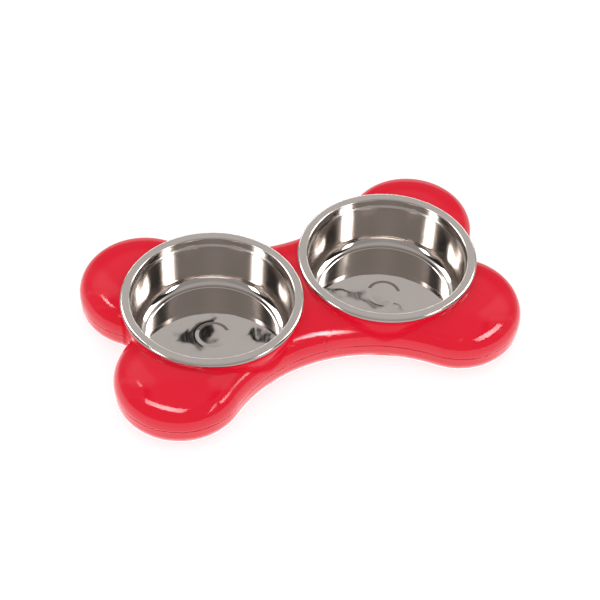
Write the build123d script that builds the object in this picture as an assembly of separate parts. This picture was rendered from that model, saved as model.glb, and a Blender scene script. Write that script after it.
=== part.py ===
from build123d import *
import math
import os

# A bone-shaped double pet bowl, in millimetres. The two steel bowls hang by their rims in a hollow
# plastic stand made of two shells, which are screwed together from below and stand on rubber feet.
# The origin is on the floor under the middle of the stand, +X along the bone and +Z up.

# Steel bowls, measured on the food side of the sheet; each bend is the radius of its inner side
RIM_RADIUS = 75.0
RIM_GAP = 3.6            # between the two rims
BOWL_DEPTH = 47.0        # rim top to the flat bottom
SHEET = 0.8
FLANGE_WIDTH = 8.2       # rim edge to the inside of the stacking band
FLANGE_BEND = 0.6
CURL_BEND = 1.2
CURL_STRAIGHT = 0.2      # upright outer face of the curled edge
CURL_TAIL = 0.4          # flat end of the curl under the rim
BAND_HEIGHT = 6.8        # the straight band under the rim
BAND_STEP = 1.5          # the wall steps in this far under the band
STEP_BEND = 0.6
WALL_TAPER = 2.4
HEEL_BEND = 9.0          # wall to flat bottom
BOSS_RADIUS = 14.5       # plain round boss stamped in the middle of the bottom
BOSS_RISE = 0.7
BOSS_SLOPE = 1.6
BOSS_BEND = 0.5

# Bone outline of the stand at its seam
LOBE_PAST = 47.5         # lobe past the collar, at its furthest from the bowl's axis
LOBE_RADIUS = 53.8
NOTCH_RADIUS = 11.2      # hollow between the two lobes of one end
NOTCH_MARGIN = 0.7       # outline past the collar, in the notch
WAIST_MARGIN = 1.0       # outline past the collar, at the waist

# Stand, both shells
WALL = 2.5
SEAM_GAP = 0.5           # the open line between the shells
SEAM_ROUND = 0.35
SIDE_RISE = 1.0          # upright side above the seam
SHOULDER_RADIUS = 20.0
CROWN_RISE = 4.9         # the top swells this much inside the shoulder
CROWN_CORE = 13.8        # half-width left level inside the crown, at its narrowest
CROWN_DROP = 1.0         # crown top below the seats of the bowls
COLLAR_WALL = 2.2        # foot of the ring that each bowl drops into
COLLAR_EDGE = 1.0
COLLAR_SIDE_GAP = 0.6    # bowl to collar
SEAT_HEIGHT = 3.0        # upright edge of the collar under the rim
SEAT_GAP = 0.2           # rim to collar
RIM_OVERHANG = 0.8       # rim past the collar's top
FOOT_EDGE_RADIUS = 14.5  # rounding of the stand's lower edge
FLOOR = 2.5
LAP_HEIGHT = 2.6         # tongue of the lower shell inside the upper one
LAP_WALL = 1.15
LAP_GAP = 0.2
RING_RADIUS = 47.0       # rib under each bowl
RING_WALL = 2.0
RING_HEIGHT = 1.4
RING_GAP = 0.3

# Screws and the posts they hold
LOBE_POST_MARGIN = 9.8   # post axis past the collar, towards the lobe
WAIST_POST_INSET = 14.8  # post axis inside the waist
POST_RADIUS = 5.2
POST_HEIGHT = 7.5        # lower post above the stand's floor
HEAD_SUNK = 2.0          # counterbore's end above the stand's floor
SCREW_RADIUS = 1.4
SCREW_LENGTH = 14.0
PILOT_GAP = 0.1
HOLE_GAP = 0.3
HEAD_RADIUS = 2.8
HEAD_HEIGHT = 2.0
HEAD_GAP = 0.5
DRIVE_WIDTH = 0.9
DRIVE_LENGTH = 3.2
DRIVE_DEPTH = 1.1

# Rubber feet, stuck into shallow recesses over the lobe screws
FOOT_RADIUS = 12.0
FOOT_PROUD = 2.0         # below the stand
FOOT_SUNK = 1.5          # inside its recess
FOOT_ROUND = 0.8
FOOT_GAP = 0.15
PAD_WALL = 1.6           # thicker floor round the recess

OVERRUN = 1.0            # cuts run past the faces that they open

# Heights, from the floor up
CURL_RADIUS = CURL_BEND + SHEET
CURL_HEIGHT = 2 * CURL_RADIUS + CURL_STRAIGHT
STAND_Z = FOOT_PROUD
FLOOR_Z = STAND_Z + FLOOR
RING_Z = FLOOR_Z + RING_HEIGHT
BOWL_Z = RING_Z + RING_GAP + SHEET
RIM_Z = BOWL_Z + BOWL_DEPTH
COLLAR_Z = RIM_Z - CURL_HEIGHT - SEAT_GAP
CROWN_Z = COLLAR_Z - CROWN_DROP
SHOULDER_Z = CROWN_Z - CROWN_RISE - SHOULDER_RADIUS
SEAM_Z = SHOULDER_Z - SIDE_RISE
COLLAR_FOOT_Z = SEAM_Z + LAP_HEIGHT + LAP_GAP + WALL
POST_Z = FLOOR_Z + POST_HEIGHT
HEAD_Z = FLOOR_Z + HEAD_SUNK

# Places seen from above, worked out from the bowls
BOWL_X = RIM_RADIUS + RIM_GAP / 2
BAND_RADIUS = RIM_RADIUS - FLANGE_WIDTH
COLLAR_BORE = BAND_RADIUS + SHEET + COLLAR_SIDE_GAP
COLLAR_RADIUS = RIM_RADIUS - RIM_OVERHANG
COLLAR_FOOT_RADIUS = COLLAR_BORE + COLLAR_WALL
LOBE_REACH = COLLAR_RADIUS + LOBE_PAST - LOBE_RADIUS
NOTCH_REACH = COLLAR_FOOT_RADIUS + NOTCH_MARGIN + NOTCH_RADIUS
NOTCH_CENTRE_X = BOWL_X + NOTCH_REACH
LOBE_AHEAD = (NOTCH_REACH**2 + LOBE_REACH**2 - (LOBE_RADIUS + NOTCH_RADIUS) ** 2) / (2 * NOTCH_REACH)
LOBE_X = BOWL_X + LOBE_AHEAD
LOBE_Y = math.sqrt(LOBE_REACH**2 - LOBE_AHEAD**2)


def waist_arc():
    """Radius and centre Y of the arc that touches two lobes and clears both collars by the waist margin."""
    reach = COLLAR_RADIUS + WAIST_MARGIN
    base = (LOBE_X**2 - BOWL_X**2 + LOBE_Y**2 - LOBE_RADIUS**2 + reach**2) / (2 * LOBE_Y)
    slope = (reach - LOBE_RADIUS) / LOBE_Y
    square = slope**2 - 1
    linear = 2 * (base * slope - reach)
    constant = BOWL_X**2 + base**2 - reach**2
    root = math.sqrt(linear**2 - 4 * square * constant)
    radius = max((-linear + root) / (2 * square), (-linear - root) / (2 * square))
    return radius, base + slope * radius


WAIST_RADIUS, WAIST_CENTRE_Y = waist_arc()
WAIST_Y = WAIST_CENTRE_Y - WAIST_RADIUS
CROWN_INSET = min(WAIST_Y, LOBE_RADIUS) - CROWN_CORE

LOBE_ANGLE = math.atan2(LOBE_Y, LOBE_AHEAD)
POST_REACH = COLLAR_RADIUS + LOBE_POST_MARGIN
LOBE_POST_X = BOWL_X + POST_REACH * math.cos(LOBE_ANGLE)
LOBE_POST_Y = POST_REACH * math.sin(LOBE_ANGLE)
SIDES = {"left": -1, "right": 1}
ENDS = {"front": -1, "rear": 1}
FOOT_PLACES = {
    f"foot_{end}_{side}": (sx * LOBE_POST_X, sy * LOBE_POST_Y)
    for end, sy in ENDS.items()
    for side, sx in SIDES.items()
}
WAIST_PLACES = [(0, sy * (WAIST_Y - WAIST_POST_INSET)) for sy in ENDS.values()]
POST_PLACES = [*FOOT_PLACES.values(), *WAIST_PLACES]


def bone_arcs():
    """Arcs of the outline, anticlockwise: centre, radius, start, turn, and 1 if it bulges or -1 if hollow."""
    to_notch = math.degrees(math.atan2(-LOBE_Y, NOTCH_CENTRE_X - LOBE_X))
    to_waist = math.degrees(math.atan2(WAIST_CENTRE_Y - LOBE_Y, -LOBE_X))
    half_turn = 180
    arcs = []
    for side, turned in ((1, 0), (-1, half_turn)):
        lower_lobe = (side * LOBE_X, -side * LOBE_Y)
        upper_lobe = (side * LOBE_X, side * LOBE_Y)
        notch = (side * NOTCH_CENTRE_X, 0)
        waist = (0, side * WAIST_CENTRE_Y)
        arcs.append((lower_lobe, LOBE_RADIUS, turned - to_waist, to_waist - to_notch, 1))
        arcs.append((notch, NOTCH_RADIUS, turned - to_notch - half_turn, 2 * to_notch, -1))
        arcs.append((upper_lobe, LOBE_RADIUS, turned + to_notch, to_waist - to_notch, 1))
        arcs.append((waist, WAIST_RADIUS, turned + to_waist - half_turn, half_turn - 2 * to_waist, -1))
    return arcs


def bone_face(inset):
    """The bone outline drawn in by an inset, as a face on the floor."""
    edges = []
    for centre, radius, start, turn, bulge in bone_arcs():
        edges.append(CenterArc(centre, radius - bulge * inset, start, turn))
    return make_face(edges)


def bone_prism(inset, low, high):
    return Pos(0, 0, low) * extrude(bone_face(inset), high - low)


def crown_section(inset, low):
    """Section of the crowned top, or of its offset: X is the inset from the outline and Y the height."""
    run = CROWN_INSET - SHOULDER_RADIUS
    rise = CROWN_RISE + SHOULDER_RADIUS
    crown_radius = (run**2 + rise**2 - SHOULDER_RADIUS**2) / (2 * CROWN_RISE)
    meet = math.asin(run / (crown_radius - SHOULDER_RADIUS))
    shoulder_radius = SHOULDER_RADIUS - inset
    upright = math.pi / 2

    def on_shoulder(angle):
        x = SHOULDER_RADIUS - shoulder_radius * math.sin(angle)
        return (x, SHOULDER_Z + shoulder_radius * math.cos(angle))

    def on_crown(angle):
        x = CROWN_INSET - (crown_radius - inset) * math.sin(angle)
        return (x, CROWN_Z - crown_radius + (crown_radius - inset) * math.cos(angle))

    outer_foot = (inset, low)
    inner_foot = (CROWN_INSET, low)
    return make_face(
        [
            Line(outer_foot, on_shoulder(upright)),
            ThreePointArc(on_shoulder(upright), on_shoulder((upright + meet) / 2), on_shoulder(meet)),
            ThreePointArc(on_crown(meet), on_crown(meet / 2), on_crown(0)),
            Line(on_crown(0), inner_foot),
            Line(inner_foot, outer_foot),
        ]
    )


def crowned_bone(inset, low):
    """The crowned top of the stand down to a height, as one solid, or its offset inside by an inset."""
    body = bone_prism(CROWN_INSET, low, CROWN_Z - inset)
    inward = crown_section(inset, low)
    outward = mirror(inward, Plane.YZ)
    for centre, radius, start, turn, bulge in bone_arcs():
        section = outward if bulge > 0 else inward
        radial = Vector(1, 0, 0).rotate(Axis.Z, min(start, start + turn))
        upright = Plane((*centre, 0), x_dir=radial, z_dir=radial.cross(Vector(0, 0, 1)))
        body += revolve(upright * Pos(radius, 0, 0) * section, Axis((*centre, 0), (0, 0, 1)), abs(turn))
    return body


def bar(place, radius, low, high):
    """An upright round bar at a place on the floor, between two heights."""
    return Pos(*place, low) * Cylinder(radius, high - low, align=(Align.CENTER, Align.CENTER, Align.MIN))


def make_collar(place):
    """The ring that a bowl drops into: it widens upwards to a seat for the rim, with rounded edges."""
    section = FilletPolyline(
        (COLLAR_BORE, COLLAR_FOOT_Z),
        (COLLAR_BORE, COLLAR_Z),
        (COLLAR_RADIUS, COLLAR_Z),
        (COLLAR_RADIUS, COLLAR_Z - SEAT_HEIGHT),
        (COLLAR_FOOT_RADIUS, COLLAR_FOOT_Z),
        radius=COLLAR_EDGE,
    )
    foot = Line((COLLAR_FOOT_RADIUS, COLLAR_FOOT_Z), (COLLAR_BORE, COLLAR_FOOT_Z))
    return Pos(*place, 0) * revolve(Plane.XZ * make_face([*section.edges(), foot]), Axis.Z)


def make_top_shell():
    low = SEAM_Z + SEAM_GAP / 2
    lap_top = SEAM_Z + LAP_HEIGHT + LAP_GAP
    outer = crowned_bone(0, low)
    outer = fillet(outer.faces().sort_by(Axis.Z)[0].edges(), SEAM_ROUND)
    shell = outer - crowned_bone(WALL, low - OVERRUN)
    for side in SIDES.values():
        place = (side * BOWL_X, 0)
        shell -= bar(place, COLLAR_BORE, low - OVERRUN, RIM_Z)
        shell += make_collar(place)
    shell -= bone_prism(LAP_WALL, low - OVERRUN, lap_top) - bone_prism(WALL + OVERRUN, low - OVERRUN, lap_top)
    post_core = crowned_bone(WALL / 2, POST_Z)
    for place in POST_PLACES:
        shell += bar(place, POST_RADIUS, POST_Z, CROWN_Z) & post_core
        shell -= bar(place, SCREW_RADIUS + PILOT_GAP, POST_Z - OVERRUN, HEAD_Z + SCREW_LENGTH + OVERRUN)
    return shell


def make_bottom_shell():
    rim_high = SEAM_Z - SEAM_GAP / 2
    outer_round = min(FOOT_EDGE_RADIUS, rim_high - STAND_Z - WALL)
    outer = bone_prism(0, STAND_Z, rim_high)
    outer = fillet(outer.faces().sort_by(Axis.Z)[0].edges(), outer_round)
    outer = fillet(outer.faces().sort_by(Axis.Z)[-1].edges(), SEAM_ROUND)
    inner = bone_prism(WALL, FLOOR_Z, rim_high + OVERRUN)
    inner = fillet(inner.faces().sort_by(Axis.Z)[0].edges(), outer_round - WALL)
    shell = outer - inner
    tongue_inset = LAP_WALL + LAP_GAP
    tongue_top = SEAM_Z + LAP_HEIGHT
    shell += bone_prism(tongue_inset, rim_high, tongue_top) - bone_prism(WALL, rim_high, tongue_top)
    for side in SIDES.values():
        place = (side * BOWL_X, 0)
        ring = bar(place, RING_RADIUS, FLOOR_Z, RING_Z)
        shell += ring - bar(place, RING_RADIUS - RING_WALL, FLOOR_Z, RING_Z)
    for place in FOOT_PLACES.values():
        shell += bar(place, FOOT_RADIUS + FOOT_GAP + PAD_WALL, FLOOR_Z, FLOOR_Z + FOOT_SUNK)
    for place in POST_PLACES:
        shell += bar(place, POST_RADIUS, FLOOR_Z, POST_Z)
        shell -= bar(place, HEAD_RADIUS + HEAD_GAP, STAND_Z - OVERRUN, HEAD_Z)
        shell -= bar(place, SCREW_RADIUS + HOLE_GAP, STAND_Z, POST_Z + OVERRUN)
    for place in FOOT_PLACES.values():
        shell -= bar(place, FOOT_RADIUS + FOOT_GAP, STAND_Z - OVERRUN, STAND_Z + FOOT_SUNK)
    return shell


def sheet_face(points, bends, thickness):
    """Section of a bent sheet: a line of points with rounded bends, and its offset to the right."""
    starts = []
    runs = []
    for (x0, y0), (x1, y1) in zip(points, points[1:]):
        length = math.hypot(x1 - x0, y1 - y0)
        starts.append((x0 + (y1 - y0) / length * thickness, y0 - (x1 - x0) / length * thickness))
        runs.append((x1 - x0, y1 - y0))
    back = [starts[0]]
    front_bends = []
    back_bends = []
    for i, bend in enumerate(bends):
        (x, y), (along_x, along_y) = starts[i], runs[i]
        (next_x, next_y), (across_x, across_y) = starts[i + 1], runs[i + 1]
        turn = along_x * across_y - along_y * across_x
        share = ((next_x - x) * across_y - (next_y - y) * across_x) / turn
        back.append((x + share * along_x, y + share * along_y))
        front_bends.append(bend if turn > 0 else bend + thickness)
        back_bends.append(bend + thickness if turn > 0 else bend)
    back.append((starts[-1][0] + runs[-1][0], starts[-1][1] + runs[-1][1]))
    front_edges = FilletPolyline(*points, radius=front_bends).edges()
    back_edges = FilletPolyline(*back, radius=back_bends).edges()
    ends = [Line(points[0], back[0]), Line(points[-1], back[-1])]
    return make_face([*front_edges, *back_edges, *ends])


def make_bowl(side):
    step_z = RIM_Z - BAND_HEIGHT
    wall_top = BAND_RADIUS - BAND_STEP
    points = [
        (0, BOWL_Z + BOSS_RISE),
        (BOSS_RADIUS - BOSS_SLOPE, BOWL_Z + BOSS_RISE),
        (BOSS_RADIUS, BOWL_Z),
        (wall_top - WALL_TAPER, BOWL_Z),
        (wall_top, step_z - BAND_STEP),
        (BAND_RADIUS, step_z),
        (BAND_RADIUS, RIM_Z),
        (RIM_RADIUS, RIM_Z),
        (RIM_RADIUS, RIM_Z - CURL_HEIGHT),
        (RIM_RADIUS - CURL_RADIUS - CURL_TAIL, RIM_Z - CURL_HEIGHT),
    ]
    bends = [BOSS_BEND, BOSS_BEND, HEEL_BEND, STEP_BEND, STEP_BEND, FLANGE_BEND, CURL_BEND, CURL_BEND]
    section = Plane.XZ * sheet_face(points, bends, SHEET)
    return Pos(side * BOWL_X, 0, 0) * revolve(section, Axis.Z)


def make_foot(place):
    foot = bar(place, FOOT_RADIUS, 0, STAND_Z + FOOT_SUNK)
    return fillet(foot.edges().group_by(Axis.Z)[0], FOOT_ROUND)


def make_screws():
    """Pan-head screws, heads down in their counterbores, with a cross drive."""
    screws = []
    for place in POST_PLACES:
        low = HEAD_Z - HEAD_HEIGHT
        screw = bar(place, HEAD_RADIUS, low, HEAD_Z)
        screw += bar(place, SCREW_RADIUS, HEAD_Z, HEAD_Z + SCREW_LENGTH)
        slot = Box(DRIVE_LENGTH, DRIVE_WIDTH, DRIVE_DEPTH) + Box(DRIVE_WIDTH, DRIVE_LENGTH, DRIVE_DEPTH)
        screw -= Pos(*place, low + DRIVE_DEPTH / 2) * slot
        screws.append(screw.solid())
    return Compound(children=screws)


def main():
    parts = {
        "top_shell": make_top_shell(),
        "bottom_shell": make_bottom_shell(),
        "shell_screws": make_screws(),
    }
    for name, side in SIDES.items():
        parts[f"bowl_{name}"] = make_bowl(side)
    for name, place in FOOT_PLACES.items():
        parts[name] = make_foot(place)
    os.makedirs("parts", exist_ok=True)
    for name, shape in parts.items():
        export_step(shape, f"parts/{name}.step")
    print("lobe at", round(LOBE_X, 2), round(LOBE_Y, 2), "waist", round(WAIST_Y, 2), round(WAIST_RADIUS, 2))
    print("rim", round(RIM_Z, 2), "crown", round(CROWN_Z, 2), "seam", round(SEAM_Z, 2), "bowl x", BOWL_X)
    print("lobe post at", round(LOBE_POST_X, 2), round(LOBE_POST_Y, 2))


main()
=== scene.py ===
import math

import bmesh
import bpy
import numpy as np
from mathutils import Matrix, Vector


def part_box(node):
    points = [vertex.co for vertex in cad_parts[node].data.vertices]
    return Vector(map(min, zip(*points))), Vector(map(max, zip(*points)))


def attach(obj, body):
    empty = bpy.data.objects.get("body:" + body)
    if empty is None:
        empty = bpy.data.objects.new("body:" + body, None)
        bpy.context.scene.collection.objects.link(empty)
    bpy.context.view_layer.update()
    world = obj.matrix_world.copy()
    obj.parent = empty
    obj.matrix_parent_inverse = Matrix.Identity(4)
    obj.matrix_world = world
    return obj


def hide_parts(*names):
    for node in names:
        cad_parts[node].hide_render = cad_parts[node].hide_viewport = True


# A double pet bowl in a bone-shaped stand, dressed to match its photograph, in metres in the solids' frame

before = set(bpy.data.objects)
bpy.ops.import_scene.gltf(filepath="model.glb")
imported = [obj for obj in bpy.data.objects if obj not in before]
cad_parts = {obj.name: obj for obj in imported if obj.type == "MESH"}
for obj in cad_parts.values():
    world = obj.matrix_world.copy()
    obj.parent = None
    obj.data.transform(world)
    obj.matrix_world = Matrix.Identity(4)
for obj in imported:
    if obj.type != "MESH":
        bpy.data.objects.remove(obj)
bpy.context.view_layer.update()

# Steel bowls: place and rim from the frame, sheet sizes measured on the food side
bowl_low, bowl_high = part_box("bowl_right")
BOWL_X = (bowl_low.x + bowl_high.x) / 2
RIM_RADIUS = (bowl_high.x - bowl_low.x) / 2
RIM_Z = bowl_high.z
BOWL_DEPTH = 0.047
SHEET = 0.0008
FLANGE_WIDTH = 0.0082
FLANGE_BEND = 0.0006
CURL_BEND = 0.0012
CURL_STRAIGHT = 0.0002
CURL_TAIL = 0.0004
BAND_HEIGHT = 0.0068
BAND_STEP = 0.0015
STEP_BEND = 0.0006
WALL_TAPER = 0.0024
HEEL_BEND = 0.0084
BOSS_RADIUS = 0.0145
BOSS_RISE = 0.0005
BOSS_SLOPE = 0.003
BOSS_BEND = 0.0005
BASE_RADIUS = 0.0547
BASE_RISE = 0.00025
BASE_SLOPE = 0.0006
BASE_BEND = 0.0002
BOWL_SEGMENTS = 288
BEND_STEPS = 12

# Upper shell of the stand
LOBE_PAST = 0.0475
LOBE_RADIUS = 0.0538
NOTCH_RADIUS = 0.0112
NOTCH_MARGIN = 0.0007
WAIST_RADIUS = 0.12672
SEAM_Z = 0.0227
SEAM_GAP = 0.0005
SEAM_ROUND = 0.00035
SIDE_RISE = 0.001
SHOULDER_RADIUS = 0.020
CROWN_RISE = 0.0049
CROWN_CORE = 0.0138
CROWN_DROP = 0.001
COLLAR_WALL = 0.0022
COLLAR_EDGE = 0.001
COLLAR_SIDE_GAP = 0.0006
COLLAR_BLEND = 0.0015
SEAT_HEIGHT = 0.003
SEAT_GAP = 0.0002
RIM_OVERHANG = 0.0008
LAP_RISE = 0.0053
SKIN = 0.0009
POST_RADIUS = 0.0052
POST_Z = 0.012
LOBE_POST_MARGIN = 0.0098
WAIST_POST_INSET = 0.0148
PILOT_RADIUS = 0.0015
PILOT_Z = 0.0215
POST_SEGMENTS = 48
SHARP_FROM = math.radians(40)
TOP_ROWS = 96
MIDDLE_COLUMNS = 56
OUTLINE_COLUMNS = 260
OUTLINE_SAMPLES = 4000
EDGE_STEPS = 6
HALVINGS = 44
FINE_START_SHARE = 0.3

# Heights and places worked out as in the solids
CURL_RADIUS = CURL_BEND + SHEET
COLLAR_Z = RIM_Z - 2 * CURL_RADIUS - CURL_STRAIGHT - SEAT_GAP
COLLAR_FOOT_Z = SEAM_Z + LAP_RISE
CROWN_Z = COLLAR_Z - CROWN_DROP
SHOULDER_Z = SEAM_Z + SIDE_RISE
TOP_EDGE_Z = SEAM_Z + SEAM_GAP / 2
LIP_Z = TOP_EDGE_Z + SEAM_ROUND
BOTTOM_Z = RIM_Z - BOWL_DEPTH
BAND_RADIUS = RIM_RADIUS - FLANGE_WIDTH
COLLAR_BORE = BAND_RADIUS + SHEET + COLLAR_SIDE_GAP
COLLAR_RADIUS = RIM_RADIUS - RIM_OVERHANG
COLLAR_FOOT_RADIUS = COLLAR_BORE + COLLAR_WALL
LOBE_REACH = COLLAR_RADIUS + LOBE_PAST - LOBE_RADIUS
NOTCH_REACH = COLLAR_FOOT_RADIUS + NOTCH_MARGIN + NOTCH_RADIUS
NOTCH_X = BOWL_X + NOTCH_REACH
LOBE_AHEAD = (NOTCH_REACH**2 + LOBE_REACH**2 - (LOBE_RADIUS + NOTCH_RADIUS) ** 2) / (2 * NOTCH_REACH)
LOBE_X = BOWL_X + LOBE_AHEAD
LOBE_Y = math.sqrt(LOBE_REACH**2 - LOBE_AHEAD**2)
WAIST_CENTRE_Y = LOBE_Y + math.sqrt((LOBE_RADIUS + WAIST_RADIUS) ** 2 - LOBE_X**2)
WAIST_Y = WAIST_CENTRE_Y - WAIST_RADIUS
CROWN_INSET = min(WAIST_Y, LOBE_RADIUS) - CROWN_CORE
CROWN_RUN = CROWN_INSET - SHOULDER_RADIUS
CROWN_FALL = CROWN_RISE + SHOULDER_RADIUS
CROWN_RADIUS = (CROWN_RUN**2 + CROWN_FALL**2 - SHOULDER_RADIUS**2) / (2 * CROWN_RISE)
CROWN_MEET = math.asin(CROWN_RUN / (CROWN_RADIUS - SHOULDER_RADIUS))
POST_REACH_SHARE = (COLLAR_RADIUS + LOBE_POST_MARGIN) / LOBE_REACH
POST_X = BOWL_X + LOBE_AHEAD * POST_REACH_SHARE
POST_Y = LOBE_Y * POST_REACH_SHARE
POST_PLACES = [(side * POST_X, end * POST_Y) for side in (1, -1) for end in (1, -1)]
POST_PLACES += [(0, end * (WAIST_Y - WAIST_POST_INSET)) for end in (1, -1)]
COLLAR_SLOPE = (COLLAR_RADIUS - COLLAR_FOOT_RADIUS) / (COLLAR_Z - SEAT_HEIGHT - COLLAR_FOOT_Z)

# Distances under which mesh points count as on the axis, or as one point
ON_AXIS = SHEET / BOWL_SEGMENTS
WELD_REACH = SKIN / OUTLINE_COLUMNS

# Finishes: each has two shades that a cloud of noise mixes, and its noises are given by scale and detail
NOISE_SPAN = (0.3, 0.7)
PLASTIC_SHADES = [(0.79, 0.007, 0.028, 1), (0.83, 0.010, 0.033, 1)]
PLASTIC_CLOUD = (22, 3)
PLASTIC_SCUFFS = (420, 4)
PLASTIC_ROUGHNESS = (0.06, 0.10)
PLASTIC_PEEL = (900, 2)
PEEL_STRENGTH = 0.012
PEEL_DEPTH = 0.0002
COLLAR_GLOSS = 0.04
TOP_GLOSS = 0.3
GLOSS_FADE_START = 0.0001
GLOSS_FADE_END = 0.0010
STEEL_SHADES = [(0.60, 0.545, 0.51, 1), (0.64, 0.58, 0.54, 1)]
STEEL_CLOUD = (30, 3)
STEEL_RINGS = (2200, 3)
STEEL_ROUGHNESS = (0.012, 0.04)
WALL_ROUGHNESS = 0.13
POLISH_LOW = 0.001
POLISH_HIGH = 0.010
STEEL_WAVES = (45, 1)
WAVE_STRENGTH = 1.0
WAVE_DEPTH = 0.00009
RING_SHARE = 0.004
RUBBER_SHADES = [(0.030, 0.030, 0.033, 1), (0.055, 0.055, 0.060, 1)]
RUBBER_CLOUD = (180, 4)
RUBBER_GRAIN = (2600, 3)
RUBBER_ROUGHNESS = (0.55, 0.75)
GRAIN_STRENGTH = 0.2
GRAIN_DEPTH = 0.0002
ZINC_SHADES = [(0.52, 0.53, 0.55, 1), (0.66, 0.66, 0.64, 1)]
ZINC_CLOUD = (900, 4)
ZINC_ROUGHNESS = (0.22, 0.38)
FLOOR_SHADES = [(0.39, 0.39, 0.39, 1), (0.41, 0.41, 0.41, 1)]
FLOOR_CLOUD = (3, 2)
FLOOR_ROUGHNESS = 0.9
FLAG_SHADES = [(0.004, 0.004, 0.004, 1), (0.008, 0.008, 0.008, 1)]
FLAG_CLOUD = (40, 2)
WHITE = (1, 1, 1, 1)
LEVEL_SHARES = (1, 1, 0)

# Camera: lens and sensor in millimetres; a way is an azimuth from the front and an elevation, in degrees
QUARTER_TURN = 90
HALF_TURN = 180
LENS = 99.2
SENSOR = 36.0
CAMERA_DISTANCE = 1.3635
CAMERA_RIGHT = -0.00075
CAMERA_UP = -0.020775
CAMERA_WAY = (-21.681, 46.722)
CAMERA_ROLL = 2.542

# Floor: its glow for other rays and for the camera, and how bright it is in reflections
FLOOR_SIZE = 6.0
FLOOR_GLOW = 0.58
FLOOR_SEEN_GLOW = 0.75
FLOOR_SHINE = 0.7

# Studio walls: grey levels by degrees from the studio's axis, the same on both sides of it
STUDIO_AXIS = -21.7
STUDIO_LEVELS = [
    (0, 0.46),
    (25, 0.40),
    (58, 0.40),
    (78, 0.35),
    (82, 0.03),
    (104, 0.03),
    (108, 0.50),
    (124, 1.30),
    (138, 1.30),
    (146, 0.66),
    (180, 0.66),
]
CEILING_START = 58
CEILING_FULL = 68
CEILING_LEVEL = 0.55
HORIZON_START = 20
HORIZON_END = 40
HORIZON_SHARE = 0.3
BACK_START = 100
BACK_END = 130
SOFT_LEVEL = 0.95

# Soft boxes that draw streaks on the plastic, each aimed at a place on it
STREAK_DISTANCE = 0.25
STREAKS = {
    "streak_near_left": {
        "radiance": 22,
        "aim": (-0.144, -0.089, 0.040),
        "way": (-53, 60),
        "size": (0.27, 0.080),
        "roll": 6,
        "beam": 42,
    },
    "streak_far_left": {
        "radiance": 22,
        "aim": (-0.157, 0.033, 0.042),
        "way": (-118, 54),
        "size": (0.015, 0.12),
        "roll": -53,
        "beam": 16,
    },
    "streak_waist": {
        "radiance": 40,
        "aim": (0.001, -0.054, 0.038),
        "way": (19, 40),
        "size": (0.52, 0.032),
        "roll": 54,
        "beam": 25,
    },
    "streak_right": {
        "radiance": 22,
        "aim": (0.127, -0.097, 0.039),
        "way": (46, 43),
        "size": (0.24, 0.075),
        "roll": 0,
        "beam": 38,
    },
}

# Large dim panels on both sides, and the lit floor in front, for the sides of the plastic
PANEL_RADIANCE = 0.45
PANEL_DISTANCE = 2.0
PANELS = {
    "panel_left": {"way": (-114.7, 27), "size": (1.1, 2.1)},
    "panel_right": {"way": (71.3, 27), "size": (1.1, 2.1)},
}
FRONT_RADIANCE = 2.2
FRONT_SIZE = (1.8, 0.9)
FRONT_HEIGHT = 0.001
FRONT_REACHES = [0.37, 0.40, 0.43, 0.46, 0.49]

# Soft boxes that draw bright bands in the steel
LIGHT_BAND_DISTANCE = 2.0
LIGHT_BANDS = {
    "band_left": {"radiance": 8, "way": (-84, 37), "size": (0.32, 0.95), "roll": 35},
    "band_right": {"radiance": 8, "way": (42, 37), "size": (0.36, 0.95), "roll": -35},
    "band_back_left": {"radiance": 8, "way": (-146, 43), "size": (0.65, 1.1), "roll": 35},
    "band_back_right": {"radiance": 8, "way": (102, 43), "size": (0.65, 1.1), "roll": -35},
    "band_low": {"radiance": 4.5, "way": (158, 16), "size": (3.0, 0.4), "roll": 0},
}

# Dark flags for the bottoms of the bowls, given by the ways to their corners
FLAG_DISTANCE = 20.0
FLAGS = {
    "flag_left": [
        (165.2, 48.3),
        (164.5, 47.8),
        (164.3, 48.1),
        (163.3, 47.4),
        (162.7, 47.5),
        (163.2, 48.2),
        (164.0, 48.4),
    ],
    "flag_middle": [
        (161.4, 48.1),
        (161.2, 47.8),
        (160.7, 47.8),
        (160.3, 48.1),
        (160.1, 47.8),
        (159.7, 48.2),
        (160.4, 48.3),
    ],
    "flag_right": [
        (157.2, 46.3),
        (156.2, 46.1),
        (155.4, 46.4),
        (153.6, 46.6),
        (152.6, 46.8),
        (153.4, 46.8),
        (155.4, 46.5),
    ],
}


def add_piece(name, vertices, faces, normals=None):
    """A smooth mesh object in the scene, with its own normals where they are given."""
    mesh = bpy.data.meshes.new(name)
    mesh.from_pydata([tuple(place) for place in vertices], [], [tuple(face) for face in faces])
    mesh.shade_smooth()
    if normals is not None:
        mesh.normals_split_custom_set_from_vertices([tuple(normal) for normal in normals])
    piece = bpy.data.objects.new(name, mesh)
    bpy.context.scene.collection.objects.link(piece)
    return piece


# Steel bowls


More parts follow.
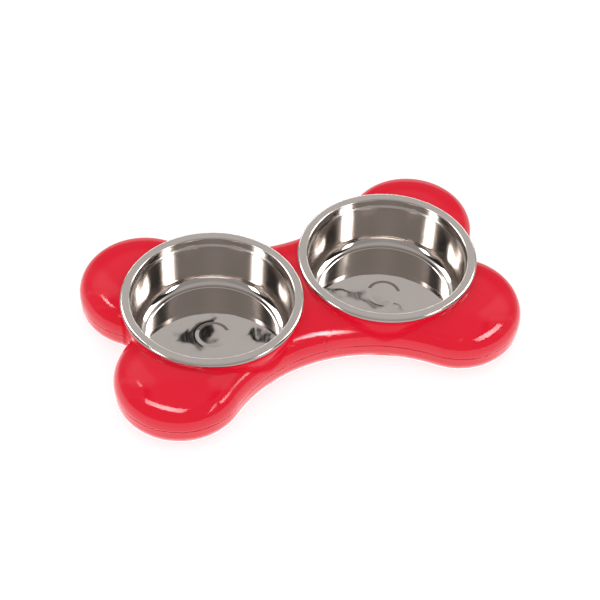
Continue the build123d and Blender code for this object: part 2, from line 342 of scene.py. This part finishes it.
def rounded_path(corners, bends):
    """Points along a section with its corners rounded, and the normal on the left of each point."""
    corners = [np.array(corner, float) for corner in corners]
    runs = [after - before for before, after in zip(corners, corners[1:])]
    ways = [run / np.linalg.norm(run) for run in runs]
    lefts = [np.array((-way[1], way[0])) for way in ways]
    points = [corners[0]]
    normals = [lefts[0]]
    for corner, bend, way_in, way_out, left_in in zip(corners[1:-1], bends, ways, ways[1:], lefts):
        turn = math.atan2(way_in[0] * way_out[1] - way_in[1] * way_out[0], way_in @ way_out)
        side = math.copysign(1, turn)
        start = corner - way_in * bend * abs(math.tan(turn / 2))
        centre = start + left_in * side * bend
        for angle in np.linspace(0, turn, BEND_STEPS):
            out = left_in[0] * math.cos(angle) - left_in[1] * math.sin(angle)
            up = left_in[0] * math.sin(angle) + left_in[1] * math.cos(angle)
            turned = np.array((out, up))
            points.append(centre - turned * side * bend)
            normals.append(turned)
    points.append(corners[-1])
    normals.append(lefts[-1])
    return np.array(points), np.array(normals)


def bowl_section():
    """The closed section of the bowl's sheet, out along the food side and back, with its normals."""
    boss_z = BOTTOM_Z + BOSS_RISE
    base_z = BOTTOM_Z + BASE_RISE
    band_z = RIM_Z - BAND_HEIGHT
    wall_radius = BAND_RADIUS - BAND_STEP
    curl_z = RIM_Z - 2 * CURL_RADIUS - CURL_STRAIGHT
    corners = [
        (0, boss_z),
        (BOSS_RADIUS - BOSS_SLOPE, boss_z),
        (BOSS_RADIUS, BOTTOM_Z),
        (BASE_RADIUS - BASE_SLOPE, BOTTOM_Z),
        (BASE_RADIUS, base_z),
        (wall_radius - WALL_TAPER, base_z),
        (wall_radius, band_z - BAND_STEP),
        (BAND_RADIUS, band_z),
        (BAND_RADIUS, RIM_Z),
        (RIM_RADIUS, RIM_Z),
        (RIM_RADIUS, curl_z),
        (RIM_RADIUS - CURL_RADIUS - CURL_TAIL, curl_z),
    ]
    bends = [
        BOSS_BEND + SHEET,
        BOSS_BEND,
        BASE_BEND,
        BASE_BEND + SHEET,
        HEEL_BEND,
        STEP_BEND + SHEET,
        STEP_BEND,
        FLANGE_BEND + SHEET,
        CURL_RADIUS,
        CURL_RADIUS,
    ]
    food, food_normals = rounded_path(corners, bends)
    back = food - food_normals * SHEET
    back[0][0] = 0
    return np.concatenate((food, back[::-1])), np.concatenate((food_normals, -food_normals[::-1]))


def turned_mesh(section, section_normals):
    """Vertices, faces and normals of a section turned about the Z axis; its ends may lie on the axis."""
    vertices = []
    normals = []
    rows = []
    for (radius, height), (out, up) in zip(section, section_normals):
        count = BOWL_SEGMENTS if radius > ON_AXIS else 1
        rows.append(range(len(vertices), len(vertices) + count))
        for index in range(count):
            angle = 2 * math.pi * index / BOWL_SEGMENTS
            vertices.append((radius * math.cos(angle), radius * math.sin(angle), height))
            normals.append((out * math.cos(angle), out * math.sin(angle), up))
    faces = []
    for inner, outer in zip(rows, rows[1:]):
        for index in range(BOWL_SEGMENTS):
            after = (index + 1) % BOWL_SEGMENTS
            if len(inner) == 1:
                faces.append((inner[0], outer[index], outer[after]))
            elif len(outer) == 1:
                faces.append((inner[index], outer[0], inner[after]))
            else:
                faces.append((inner[index], outer[index], outer[after], inner[after]))
    return vertices, faces, normals


def make_bowl(end, side, steel):
    """The bowl at one end of the stand, on its own body."""
    bowl = add_piece(f"{end}_steel", *turned_mesh(*bowl_section()))
    bowl.location.x = side * BOWL_X
    bowl.data.materials.append(steel)
    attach(bowl, f"{end}_bowl")
    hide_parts(f"bowl_{end}")
    return bowl


# Upper shell of the stand


def inset_from_outline(x, y):
    """Distance inside the bone outline, for points given as arrays."""
    x = np.abs(x)
    y = np.abs(y)
    waist = np.hypot(x, WAIST_CENTRE_Y - y) - WAIST_RADIUS
    notch = np.hypot(NOTCH_X - x, y) - NOTCH_RADIUS
    lobe = LOBE_RADIUS - np.hypot(x - LOBE_X, y - LOBE_Y)
    by_waist = np.arctan2(x, WAIST_CENTRE_Y - y) < math.atan2(LOBE_X, WAIST_CENTRE_Y - LOBE_Y)
    by_notch = np.arctan2(y, NOTCH_X - x) < math.atan2(LOBE_Y, NOTCH_X - LOBE_X)
    by_waist &= x < LOBE_X
    by_notch &= notch < LOBE_RADIUS
    hollow = np.minimum(np.where(by_waist, waist, np.inf), np.where(by_notch, notch, np.inf))
    return np.where(by_waist | by_notch, hollow, lobe)


def crown_depth(x, y, z):
    """Depth below the crowned top, negative outside it."""
    inset = inset_from_outline(x, y)
    above = z - SHOULDER_Z
    shoulder = SHOULDER_RADIUS - np.hypot(SHOULDER_RADIUS - inset, above)
    run = CROWN_INSET - np.minimum(inset, CROWN_INSET)
    crown = CROWN_RADIUS - np.hypot(run, z - CROWN_Z + CROWN_RADIUS)
    on_shoulder = np.arctan2(SHOULDER_RADIUS - inset, above) > CROWN_MEET
    return np.where(above < 0, inset, np.where(on_shoulder, shoulder, crown))


def collar_depth(x, y, z, side):
    """Depth inside the outer face of one collar, which leans outwards up to its upright edge."""
    radius = np.hypot(x - side * BOWL_X, y)
    face = COLLAR_RADIUS - COLLAR_SLOPE * np.maximum(COLLAR_Z - SEAT_HEIGHT - z, 0)
    return face - radius


def blended(one, other, width):
    """Union of two depths with a soft hollow between them."""
    near = np.maximum(width - np.abs(one - other), 0) / width
    return np.maximum(one, other) + near**2 * width / 4


def top_depth(x, y, z):
    """Depth inside the upper shell taken as a solid: crown and collars, cut level at the seats."""
    body = crown_depth(x, y, z)
    for side in (1, -1):
        body = blended(body, collar_depth(x, y, z, side), COLLAR_BLEND)
    level = COLLAR_Z - z
    corner = np.hypot(np.maximum(COLLAR_EDGE - body, 0), np.maximum(COLLAR_EDGE - level, 0))
    return np.maximum(COLLAR_EDGE, np.minimum(body, level)) - corner


def place_at(turn, radius):
    """X and Y at a turn about the right bowl's axis, counted from the middle of the stand."""
    return BOWL_X - radius * np.cos(turn), radius * np.sin(turn)


def halve(inside, low, high):
    """The border between inside at low and outside at high, for arrays of both."""
    for _ in range(HALVINGS):
        middle = (low + high) / 2
        within = inside(middle)
        low = np.where(within, middle, low)
        high = np.where(within, high, middle)
    return (low + high) / 2


def top_height(x, y, low):
    """Height of the upper shell's outside over places, above a height that lies inside it."""
    return halve(lambda z: top_depth(x, y, z) > 0, np.full_like(x, low), np.full_like(x, RIM_Z))


def outline_reach(turns):
    """Distance of the outline from the bowl's axis at each turn."""
    low = np.full_like(turns, COLLAR_BORE)
    high = np.full_like(turns, COLLAR_RADIUS + 2 * LOBE_PAST)
    return halve(lambda radius: inset_from_outline(*place_at(turns, radius)) > 0, low, high)


def top_turns():
    """Turns of the columns of a quarter: even over the middle, then evenly spaced along the outline."""
    corner = math.atan2(WAIST_Y, BOWL_X)
    samples = np.linspace(corner, math.pi, OUTLINE_SAMPLES)
    x, y = place_at(samples, outline_reach(samples))
    along = np.concatenate(([0], np.cumsum(np.hypot(np.diff(x), np.diff(y)))))
    outline = np.interp(np.linspace(0, along[-1], OUTLINE_COLUMNS), along, samples)
    return np.linspace(0, corner, MIDDLE_COLUMNS)[:-1], outline


def bore_rows(turns):
    """Radii and heights up the bore of the collar and over its rounded edge."""
    angles = np.linspace(0, math.pi / 2, EDGE_STEPS)[:-1]
    radii = np.concatenate(([COLLAR_BORE], COLLAR_BORE + COLLAR_EDGE * (1 - np.cos(angles))))
    heights = np.concatenate(([COLLAR_FOOT_Z], COLLAR_Z - COLLAR_EDGE * (1 - np.sin(angles))))
    across = np.ones_like(turns)
    return np.outer(radii, across), np.outer(heights, across)


def crown_rows(turns, end_radii, end_heights):
    """Radii and heights from the seat down the collar and over the crown to the ends of the columns."""
    shares = np.linspace(0, 1, TOP_ROWS)
    shares = FINE_START_SHARE * shares + (1 - FINE_START_SHARE) * shares**2
    first = COLLAR_BORE + COLLAR_EDGE - COLLAR_Z
    leans = first + np.outer(shares, end_radii - end_heights - first)
    low = np.full_like(leans, LIP_Z)
    high = np.full_like(leans, RIM_Z)
    heights = halve(lambda z: top_depth(*place_at(turns, leans + z), z) > 0, low, high)
    heights[-1] = end_heights
    return leans + heights, heights


def lip_rows(reaches):
    """Radii and heights round the lower edge of the side."""
    angles = np.linspace(0, math.pi / 2, EDGE_STEPS)[:, None]
    radii = reaches - SEAM_ROUND * (1 - np.cos(angles))
    heights = LIP_Z - SEAM_ROUND * np.sin(angles) * np.ones_like(reaches)
    return radii, heights


def top_quarter():
    """Turns, radii and heights of a quarter of the upper shell, and those of its rounded lower edge."""
    middle, outline = top_turns()
    turns = np.concatenate((middle, outline))
    middle_radii = BOWL_X / np.cos(middle)
    reaches = outline_reach(outline)
    middle_heights = top_height(*place_at(middle, middle_radii), LIP_Z)
    end_radii = np.concatenate((middle_radii, reaches))
    end_heights = np.concatenate((middle_heights, np.full_like(outline, LIP_Z)))
    crown = crown_rows(turns, end_radii, end_heights)
    radii, heights = [np.concatenate(rows) for rows in zip(bore_rows(turns), crown)]
    return (turns, radii, heights), (outline, *lip_rows(reaches))


def add_grid(vertices, faces, places, outward):
    """Faces over a grid of places, given as tables of X, Y and Z."""
    rows, columns = places[0].shape
    first = len(vertices)
    vertices.extend(zip(*(table.ravel() for table in places)))
    for row in range(rows - 1):
        for column in range(columns - 1):
            corner = first + row * columns + column
            face = (corner, corner + 1, corner + columns + 1, corner + columns)
            faces.append(face if outward else face[::-1])


def add_post(vertices, faces, x, y):
    """A screw post under the upper shell, with its pilot hole."""
    turns = np.linspace(0, 2 * math.pi, POST_SEGMENTS, endpoint=False)
    crown = top_height(x + POST_RADIUS * np.cos(turns), y + POST_RADIUS * np.sin(turns), POST_Z)
    rings = [
        (POST_RADIUS, crown - SKIN / 2),
        (POST_RADIUS, np.full_like(turns, POST_Z)),
        (PILOT_RADIUS, np.full_like(turns, POST_Z)),
        (PILOT_RADIUS, np.full_like(turns, PILOT_Z)),
    ]
    first = len(vertices)
    for radius, heights in rings:
        vertices.extend(zip(x + radius * np.cos(turns), y + radius * np.sin(turns), heights))
    last = first + (len(rings) - 1) * POST_SEGMENTS
    for here in range(first, last, POST_SEGMENTS):
        there = here + POST_SEGMENTS
        for index in range(POST_SEGMENTS):
            after = (index + 1) % POST_SEGMENTS
            faces.append((here + index, there + index, there + after, here + after))
    faces.append(tuple(range(last + POST_SEGMENTS - 1, last - 1, -1)))


def stand_top_mesh():
    """Vertices and faces of the upper shell's outside, mirrored from one quarter, with its posts."""
    vertices = []
    faces = []
    for turns, radii, heights in top_quarter():
        x, y = place_at(turns, radii)
        for side in (1, -1):
            for end in (1, -1):
                add_grid(vertices, faces, (side * x, end * y, heights), side == end)
    for x, y in POST_PLACES:
        add_post(vertices, faces, x, y)
    return vertices, faces


def make_stand_top(plastic):
    """The upper shell, as a skin inside its outer face."""
    top = add_piece("stand_top", *stand_top_mesh())
    shape = bmesh.new()
    shape.from_mesh(top.data)
    bmesh.ops.remove_doubles(shape, verts=shape.verts, dist=WELD_REACH)
    shape.to_mesh(top.data)
    shape.free()
    top.data.set_sharp_from_angle(angle=SHARP_FROM)
    skin = top.modifiers.new("skin", "SOLIDIFY")
    skin.thickness = SKIN
    skin.offset = -1
    top.data.materials.append(plastic)
    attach(top, "stand")
    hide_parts("top_shell")
    return top


# Materials


class Nodes:
    """A node tree, with short ways to add nodes and to feed their sockets."""

    def __init__(self, tree):
        self.tree = tree

    def feed(self, socket, term):
        """Give a socket its value: another socket or a constant."""
        if isinstance(term, bpy.types.NodeSocket):
            self.tree.links.new(term, socket)
        else:
            socket.default_value = term

    def add(self, kind, terms, **settings):
        """A new node, with terms for its sockets by name or number."""
        node = self.tree.nodes.new(kind)
        for key, value in settings.items():
            setattr(node, key, value)
        for key, term in terms.items():
            self.feed(node.inputs[key], term)
        return node

    def places(self):
        """Places on the object, in its own frame."""
        return self.add("ShaderNodeTexCoord", {}).outputs["Object"]

    def light_path(self):
        """What kind of ray is looking."""
        return self.add("ShaderNodeLightPath", {}).outputs

    def noise(self, places, scale, detail):
        """A cloud of values around one half."""
        terms = {"Vector": places, "Scale": scale, "Detail": detail}
        return self.add("ShaderNodeTexNoise", terms).outputs["Fac"]

    def mapped(self, value, given, wanted, **settings):
        """A value carried from one range to another and kept within it."""
        terms = {
            "Value": value,
            "From Min": given[0],
            "From Max": given[1],
            "To Min": wanted[0],
            "To Max": wanted[1],
        }
        return self.add("ShaderNodeMapRange", terms, **settings).outputs["Result"]

    def mixed(self, share, one, other):
        """A colour between two."""
        terms = {"Factor": share, "A": one, "B": other}
        return self.add("ShaderNodeMix", terms, data_type="RGBA").outputs["Result"]

    def number(self, operation, *terms):
        """A number worked out from numbers."""
        node = self.add("ShaderNodeMath", dict(enumerate(terms)), operation=operation)
        return node.outputs["Value"]

    def vector(self, operation, *terms):
        """A vector worked out from vectors."""
        node = self.add("ShaderNodeVectorMath", dict(enumerate(terms)), operation=operation)
        return node.outputs["Vector"]

    def measure(self, operation, *terms):
        """A number worked out from vectors."""
        node = self.add("ShaderNodeVectorMath", dict(enumerate(terms)), operation=operation)
        return node.outputs["Value"]

    def split(self, vector):
        """The X, Y and Z of a vector."""
        return self.add("ShaderNodeSeparateXYZ", {"Vector": vector}).outputs

    def joined(self, **parts):
        """A vector from its X, Y and Z, with 0 for one that is not given."""
        return self.add("ShaderNodeCombineXYZ", parts).outputs["Vector"]

    def bumped(self, height, strength, depth):
        """Normals bent by a height."""
        terms = {"Height": height, "Strength": strength, "Distance": depth}
        return self.add("ShaderNodeBump", terms).outputs["Normal"]


def new_material(name):
    """A material with the inputs of its shader and its nodes."""
    material = bpy.data.materials.new(name)
    material.use_nodes = True
    tree = material.node_tree
    return material, tree.nodes["Principled BSDF"].inputs, Nodes(tree)


def red_plastic():
    """Glossy plastic, with satin walls on the collars under the rims."""
    material, shader, nodes = new_material("red_plastic")
    places = nodes.places()
    nodes.feed(shader["Base Color"], nodes.mixed(nodes.noise(places, *PLASTIC_CLOUD), *PLASTIC_SHADES))
    scuffs = nodes.noise(places, *PLASTIC_SCUFFS)
    nodes.feed(shader["Roughness"], nodes.mapped(scuffs, NOISE_SPAN, PLASTIC_ROUGHNESS))
    place = nodes.split(places)
    past_axis = nodes.number("SUBTRACT", nodes.number("ABSOLUTE", place["X"]), BOWL_X)
    radius = nodes.measure("LENGTH", nodes.joined(X=past_axis, Y=place["Y"]))
    fade = (COLLAR_RADIUS + GLOSS_FADE_START, COLLAR_RADIUS + GLOSS_FADE_END)
    nodes.feed(shader["Specular IOR Level"], nodes.mapped(radius, fade, (COLLAR_GLOSS, TOP_GLOSS)))
    peel = nodes.noise(places, *PLASTIC_PEEL)
    nodes.feed(shader["Normal"], nodes.bumped(peel, PEEL_STRENGTH, PEEL_DEPTH))
    return material


def bowl_steel():
    """Pressed steel with fine turned rings, polished at the bottom and duller up the wall."""
    material, shader, nodes = new_material("bowl_steel")
    places = nodes.places()
    nodes.feed(shader["Base Color"], nodes.mixed(nodes.noise(places, *STEEL_CLOUD), *STEEL_SHADES))
    shader["Metallic"].default_value = 1
    height = nodes.split(places)["Z"]
    radius = nodes.measure("LENGTH", nodes.vector("MULTIPLY", places, LEVEL_SHARES))
    rings = nodes.noise(nodes.joined(X=radius, Z=height), *STEEL_RINGS)
    fine = nodes.mapped(rings, NOISE_SPAN, STEEL_ROUGHNESS)
    dull = nodes.mapped(height, (BOTTOM_Z + POLISH_LOW, BOTTOM_Z + POLISH_HIGH), (0, WALL_ROUGHNESS))
    nodes.feed(shader["Roughness"], nodes.number("ADD", fine, dull))
    waves = nodes.noise(places, *STEEL_WAVES)
    marks = nodes.number("MULTIPLY_ADD", rings, RING_SHARE, waves)
    nodes.feed(shader["Normal"], nodes.bumped(marks, WAVE_STRENGTH, WAVE_DEPTH))
    return material


def foot_rubber():
    """Dark matt rubber with a fine grain."""
    material, shader, nodes = new_material("foot_rubber")
    places = nodes.places()
    nodes.feed(shader["Base Color"], nodes.mixed(nodes.noise(places, *RUBBER_CLOUD), *RUBBER_SHADES))
    grain = nodes.noise(places, *RUBBER_GRAIN)
    nodes.feed(shader["Roughness"], nodes.mapped(grain, NOISE_SPAN, RUBBER_ROUGHNESS))
    nodes.feed(shader["Normal"], nodes.bumped(grain, GRAIN_STRENGTH, GRAIN_DEPTH))
    return material


def screw_zinc():
    """Zinc plating, unevenly bright."""
    material, shader, nodes = new_material("screw_zinc")
    cloud = nodes.noise(nodes.places(), *ZINC_CLOUD)
    nodes.feed(shader["Base Color"], nodes.mixed(cloud, *ZINC_SHADES))
    shader["Metallic"].default_value = 1
    nodes.feed(shader["Roughness"], nodes.mapped(cloud, NOISE_SPAN, ZINC_ROUGHNESS))
    return material


def pale_floor():
    """A pale floor that keeps shadows, nears white for the camera and is plain in reflections."""
    material, shader, nodes = new_material("pale_floor")
    cloud = nodes.noise(nodes.places(), *FLOOR_CLOUD)
    nodes.feed(shader["Base Color"], nodes.mixed(cloud, *FLOOR_SHADES))
    shader["Roughness"].default_value = FLOOR_ROUGHNESS
    shader["Specular IOR Level"].default_value = 0
    shader["Emission Color"].default_value = WHITE
    path = nodes.light_path()
    glow = nodes.mapped(path["Is Camera Ray"], (0, 1), (FLOOR_GLOW, FLOOR_SEEN_GLOW))
    nodes.feed(shader["Emission Strength"], glow)
    shine = nodes.add("ShaderNodeEmission", {"Strength": FLOOR_SHINE}).outputs["Emission"]
    plain = material.node_tree.nodes["Principled BSDF"].outputs["BSDF"]
    surface = nodes.add("ShaderNodeMixShader", {0: path["Is Glossy Ray"], 1: plain, 2: shine})
    nodes.feed(material.node_tree.nodes["Material Output"].inputs["Surface"], surface.outputs["Shader"])
    return material


def flag_cloth():
    """Black cloth without gloss."""
    material, shader, nodes = new_material("flag_cloth")
    cloud = nodes.noise(nodes.places(), *FLAG_CLOUD)
    nodes.feed(shader["Base Color"], nodes.mixed(cloud, *FLAG_SHADES))
    shader["Specular IOR Level"].default_value = 0
    return material


def dress_node(name, material):
    """Give a solid of the frame its material."""
    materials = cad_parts[name].data.materials
    materials.clear()
    materials.append(material)


# Stage


def way_from(azimuth, elevation):
    """The direction of a way."""
    turn = math.radians(azimuth)
    rise = math.radians(elevation)
    return Vector((math.sin(turn) * math.cos(rise), -math.cos(turn) * math.cos(rise), math.sin(rise)))


def put_facing(thing, way, roll, aim, distance, right=0, up=0):
    """Put a camera or lamp at a distance on a way from its aim, which may be shifted right and up."""
    back = way_from(*way)
    across = way_from(way[0] + QUARTER_TURN, 0)
    axes = Matrix((across, back.cross(across), back)).transposed()
    axes = axes @ Matrix.Rotation(math.radians(roll), 3, "Z")
    place = Vector(aim) + axes @ Vector((right, up, distance))
    thing.matrix_world = Matrix.Translation(place) @ axes.to_4x4()
    bpy.context.scene.collection.objects.link(thing)


def make_camera():
    """A camera at the photograph's viewing angle."""
    lens = bpy.data.cameras.new("camera")
    lens.sensor_width = SENSOR
    lens.lens = LENS
    camera = bpy.data.objects.new("camera", lens)
    aim = (0, 0, RIM_Z)
    put_facing(camera, CAMERA_WAY, CAMERA_ROLL, aim, CAMERA_DISTANCE, CAMERA_RIGHT, CAMERA_UP)
    bpy.context.scene.camera = camera


def make_floor():
    """A plain square floor under the stand."""
    half = FLOOR_SIZE / 2
    corners = [(-half, -half, 0), (half, -half, 0), (half, half, 0), (-half, half, 0)]
    floor = add_piece("floor", corners, [range(len(corners))])
    floor.data.materials.append(pale_floor())


def make_soft_box(name, radiance, way, size, distance, aim=(0, 0, 0), roll=0, beam=QUARTER_TURN):
    """A soft box that faces a place; its beam fades out at an angle from its axis."""
    wide, high = size
    lamp = bpy.data.lights.new(name, "AREA")
    lamp.shape = "RECTANGLE"
    lamp.size = wide
    lamp.size_y = high
    lamp.energy = radiance * math.pi * wide * high
    if beam < QUARTER_TURN:
        half = math.radians(beam)
        lamp.spread = 2 * half
        lamp.energy *= 1 - half / math.tan(half)
    box = bpy.data.objects.new(name, lamp)
    put_facing(box, way, roll, aim, distance)
    return box


def light_only(box, pieces):
    """Keep a soft box to the gloss of some pieces."""
    lit = bpy.data.collections.new(f"{box.name}_lit")
    for piece in pieces:
        lit.objects.link(piece)
    box.light_linking.receiver_collection = lit
    box.visible_diffuse = False


def make_lights(plastic_pieces, steel_pieces):
    """Soft boxes for the gloss of the plastic and of the steel."""
    for name, streak in STREAKS.items():
        light_only(make_soft_box(name, distance=STREAK_DISTANCE, **streak), plastic_pieces)
    for name, panel in PANELS.items():
        light_only(make_soft_box(name, PANEL_RADIANCE, distance=PANEL_DISTANCE, **panel), plastic_pieces)
    upwards = (STUDIO_AXIS, -QUARTER_TURN)
    for index, reach in enumerate(FRONT_REACHES):
        place = way_from(STUDIO_AXIS, 0) * reach + Vector((0, 0, FRONT_HEIGHT))
        radiance = FRONT_RADIANCE / len(FRONT_REACHES)
        box = make_soft_box(f"front_floor_{index}", radiance, upwards, FRONT_SIZE, 0, place)
        light_only(box, plastic_pieces)
    for name, band in LIGHT_BANDS.items():
        light_only(make_soft_box(name, distance=LIGHT_BAND_DISTANCE, **band), steel_pieces)


def make_flags():
    """Dark studio flags, seen only as reflections in the bottoms of the bowls."""
    cloth = flag_cloth()
    for name, ways in FLAGS.items():
        corners = [way_from(*way) * FLAG_DISTANCE for way in ways]
        flag = add_piece(name, corners, [range(len(corners))])
        flag.data.materials.append(cloth)
        flag.visible_camera = False
        flag.visible_diffuse = False
        flag.visible_shadow = False


def grey(level):
    """A grey colour."""
    return (level, level, level, 1)


def sines(low, high):
    """The sines of two angles."""
    return math.sin(math.radians(low)), math.sin(math.radians(high))


def wall_levels(nodes, share):
    """The grey of the studio walls by the share of half a turn from the axis."""
    ring = nodes.add("ShaderNodeValToRGB", {"Fac": share})
    stops = ring.color_ramp.elements
    ready = len(stops)
    for index, (degrees, level) in enumerate(STUDIO_LEVELS):
        stop = stops[index] if index < ready else stops.new(1)
        stop.position = degrees / HALF_TURN
        stop.color = grey(level)
    return ring.outputs["Color"]


def studio_walls(nodes, way, height):
    """The studio walls, darker towards the horizon at the back."""
    ahead = nodes.vector("NORMALIZE", nodes.vector("MULTIPLY", way, LEVEL_SHARES))
    along = nodes.measure("DOT_PRODUCT", ahead, way_from(STUDIO_AXIS, 0))
    share = nodes.mapped(nodes.number("ARCCOSINE", along), (0, math.pi), (0, 1))
    rise = sines(HORIZON_START, HORIZON_END)
    low = nodes.mapped(height, rise, (HORIZON_SHARE, 1), interpolation_type="SMOOTHSTEP")
    front = nodes.mapped(share, (BACK_START / HALF_TURN, BACK_END / HALF_TURN), (1, 0))
    return nodes.vector("MULTIPLY", wall_levels(nodes, share), nodes.number("MAXIMUM", low, front))


def make_world():
    """A grey studio round the stand, plain for soft light and white where the camera sees it."""
    world = bpy.data.worlds.new("studio")
    bpy.context.scene.world = world
    world.use_nodes = True
    nodes = Nodes(world.node_tree)
    way = nodes.add("ShaderNodeTexCoord", {}).outputs["Generated"]
    height = nodes.split(way)["Z"]
    rise = sines(CEILING_START, CEILING_FULL)
    ceiling = nodes.mapped(height, rise, (0, 1), interpolation_type="SMOOTHSTEP")
    dome = nodes.mixed(ceiling, studio_walls(nodes, way, height), grey(CEILING_LEVEL))
    path = nodes.light_path()
    lit = nodes.mixed(path["Is Glossy Ray"], grey(SOFT_LEVEL), dome)
    shown = nodes.mixed(path["Is Camera Ray"], lit, WHITE)
    nodes.feed(world.node_tree.nodes["Background"].inputs["Color"], shown)


def main():
    """The dressed part on its stage."""
    plastic = red_plastic()
    steel = bowl_steel()
    rubber = foot_rubber()
    zinc = screw_zinc()
    left = make_bowl("left", -1, steel)
    right = make_bowl("right", 1, steel)
    top = make_stand_top(plastic)
    dress_node("bottom_shell", plastic)
    dress_node("shell_screws", zinc)
    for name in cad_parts:
        if name.startswith("foot_"):
            dress_node(name, rubber)
    bpy.context.scene.view_settings.view_transform = "Standard"
    make_floor()
    make_flags()
    make_camera()
    make_world()
    make_lights([top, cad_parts["bottom_shell"]], [left, right])


main()
